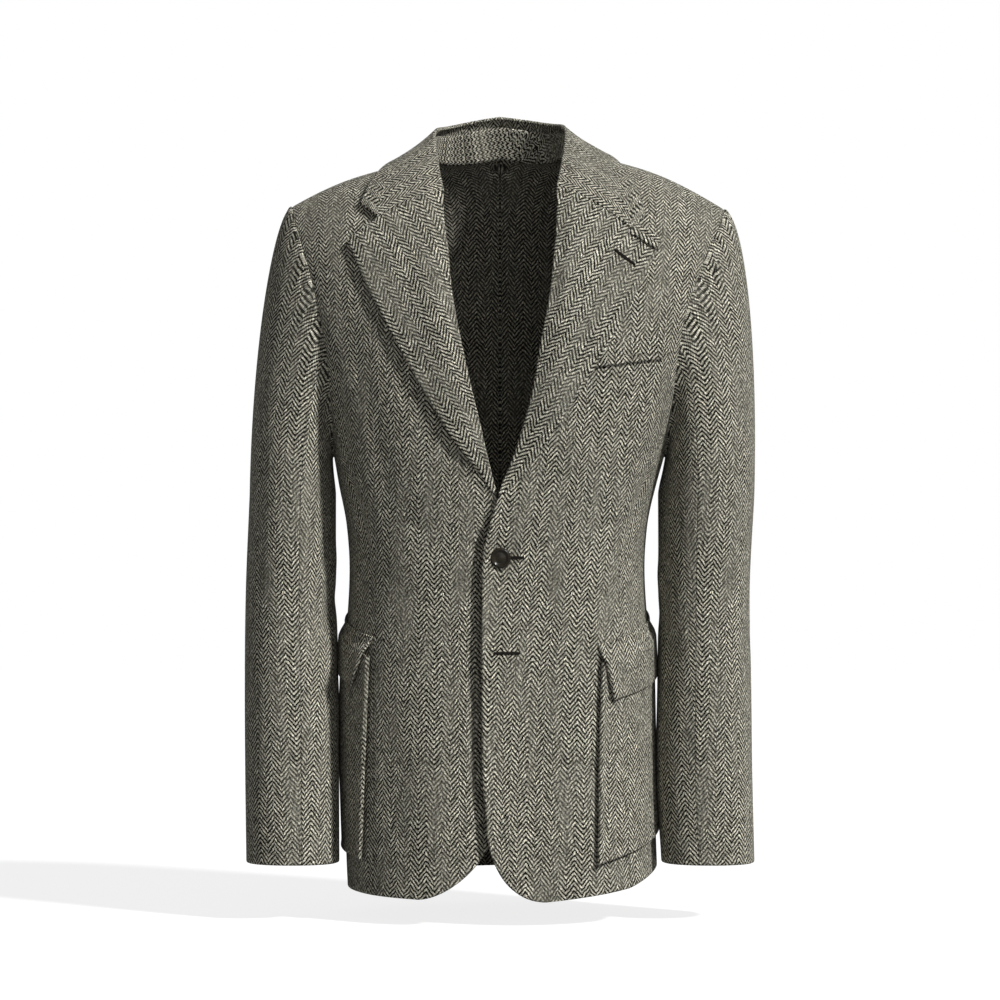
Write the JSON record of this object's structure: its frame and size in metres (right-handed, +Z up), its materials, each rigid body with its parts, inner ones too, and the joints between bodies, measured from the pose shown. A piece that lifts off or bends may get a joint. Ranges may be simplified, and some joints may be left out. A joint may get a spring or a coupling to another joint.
{
  "type": "tweed hacking jacket",
  "caption": "Man's tweed hacking jacket, worn form: hollow cloth body and sleeves, notch lapels, slanted flap pockets, buttoned front.",
  "frame": {"origin": "middle of the neck base, between the shoulder seams, where the wearer holds the jacket up", "axes": "+Z up, the front faces -Y, +X towards the wearer's left"},
  "size_m": [0.5086, 0.2807, 0.7777],
  "materials": {
    "tweed": "black and cream herringbone wool tweed, matt, slightly hairy",
    "horn": "dark brown horn, polished"
  },
  "bodies": {
    "root": {"front_right": "tweed", "front_left": "tweed", "side_right": "tweed", "side_left": "tweed", "back_right": "tweed", "back_left": "tweed", "sleeve_top_right": "tweed", "sleeve_top_left": "tweed", "sleeve_under_right": "tweed", "sleeve_under_left": "tweed", "collar_stand": "tweed", "collar_fall": "tweed", "lapel_right": "tweed", "lapel_left": "tweed", "pocket_right": "tweed", "pocket_left": "tweed", "flap_right": "tweed", "flap_left": "tweed", "breast_welt": "tweed", "throat_tab": "tweed", "button_upper": "horn", "button_lower": "horn"}
  },
  "joints": []
}
